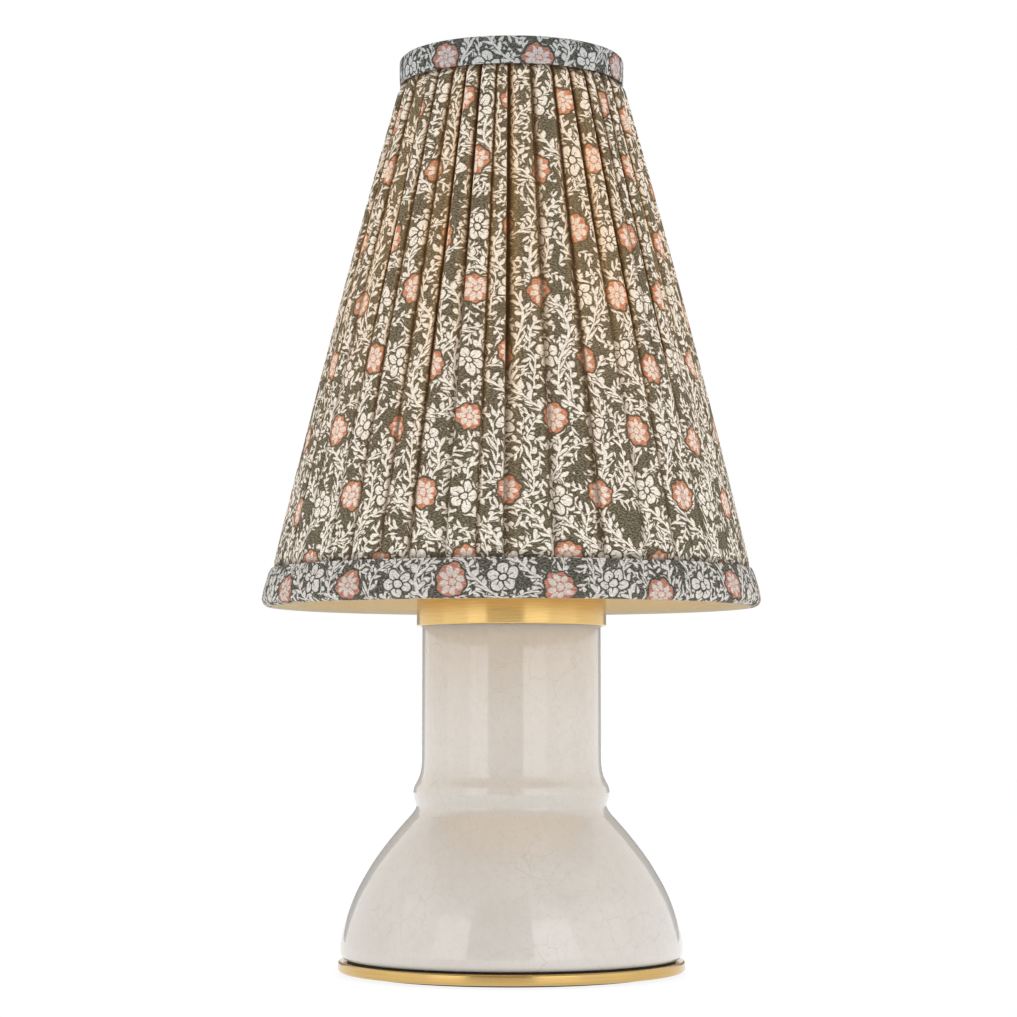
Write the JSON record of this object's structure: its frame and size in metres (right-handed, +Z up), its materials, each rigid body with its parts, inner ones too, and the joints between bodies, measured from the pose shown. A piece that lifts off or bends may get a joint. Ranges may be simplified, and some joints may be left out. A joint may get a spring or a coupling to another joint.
{
  "type": "cordless table lamp",
  "caption": "Rechargeable table lamp: glazed ceramic base with brass foot and collar, opal light column and a gathered printed fabric shade held by a spider and finial.",
  "frame": {"origin": "on the table under the lamp's vertical axis, at the underside of the foot ring", "axes": "+Z up the lamp's axis, front towards -Y, charging port and push button towards +Y, +X to the right seen from the front"},
  "size_m": [0.1626, 0.1626, 0.2999],
  "materials": {
    "brass": "satin brass, lacquered and brushed round",
    "glaze": "warm off-white glaze, glossy, with fine crackle",
    "silicone": "matt silicone",
    "steel": "zinc plated",
    "aluminium": "turned",
    "led_board": "white solder mask with yellow light-emitting chips",
    "opal": "opal acrylic, satin",
    "light_pipe": "clear acrylic, frosted end",
    "black_plastic": "moulded, fine spark texture",
    "white_plastic": "moulded",
    "cell_wrap": "heat-shrunk sleeve",
    "circuit_board": "green solder mask with dark components",
    "insulation": "smooth wire insulation",
    "painted_wire": "cream powder coat on steel wire",
    "lining_cloth": "cream cloth laminated on a stiff backing, warm from the light behind",
    "printed_cloth": "fine slubbed linen printed with a small floral on a grey-green ground"
  },
  "bodies": {
    "base": {"foot_ring": "silicone", "base_plate": "brass", "foot_gasket": "silicone", "ceramic_body": "glaze", "neck_gasket": "silicone", "collar": "brass", "tie_rod": "steel", "bottom_washer": "steel", "bottom_nut": "steel", "top_washer": "steel", "rod_coupler": "steel", "light_base": "aluminium", "led_core": "aluminium", "led_strip_rear": "led_board", "led_strip_left": "led_board", "led_strip_front": "led_board", "led_strip_right": "led_board", "diffuser": "opal", "diffuser_cap": "brass", "cap_nut": "brass", "centre_rod": "brass", "shade_seat": "brass", "battery_tray": "black_plastic", "battery_cell_front": "cell_wrap", "battery_cell_rear": "cell_wrap", "cell_link_left": "steel", "battery_lead_left": "insulation", "tray_screw_left": "steel", "board_screw_left": "steel", "cell_link_right": "steel", "battery_lead_right": "insulation", "tray_screw_right": "steel", "board_screw_right": "steel", "control_board": "circuit_board", "usb_port": "steel", "tact_switch": "black_plastic", "charge_light": "light_pipe", "port_bezel": "black_plastic", "led_lead": "insulation"},
    "power_button": {"power_button": "brass", "switch_plunger": "white_plastic"},
    "seat_washer": {"seat_washer": "silicone"},
    "shade": {"shade_spider": "painted_wire", "bottom_ring": "painted_wire", "shade_lining": "lining_cloth", "pleated_cloth": "printed_cloth", "top_binding": "printed_cloth", "bottom_binding": "printed_cloth"},
    "finial_washer": {"finial_washer": "brass"},
    "finial": {"finial": "brass"}
  },
  "joints": [
    {"name": "button_press", "type": "slide", "parent": "base", "child": "power_button", "axis": [0, -1, 0], "range_m": [0, 0.0008], "stiffness_N_per_m": 500, "springref_m": -0.0005},
    {"name": "shade_turn", "type": "hinge", "parent": "base", "child": "seat_washer", "pos_m": [0, 0, 0.2852], "axis": [0, 0, 1], "continuous": true},
    {"name": "shade_lift", "type": "slide", "parent": "seat_washer", "child": "shade", "axis": [0, 0, 1], "range_m": [0, 0.18]},
    {"name": "finial_rise", "type": "slide", "parent": "shade", "child": "finial_washer", "axis": [0, 0, 1], "range_m": [0, 0.006]},
    {"name": "finial_turn", "type": "hinge", "parent": "finial_washer", "child": "finial", "pos_m": [0, 0, 0.2888], "axis": [0, 0, 1], "range_deg": [0, 2160]}
  ],
  "couplings": [
    {"joint": "finial_turn", "follows": "finial_rise", "rad_per_m": 6283.2}
  ]
}
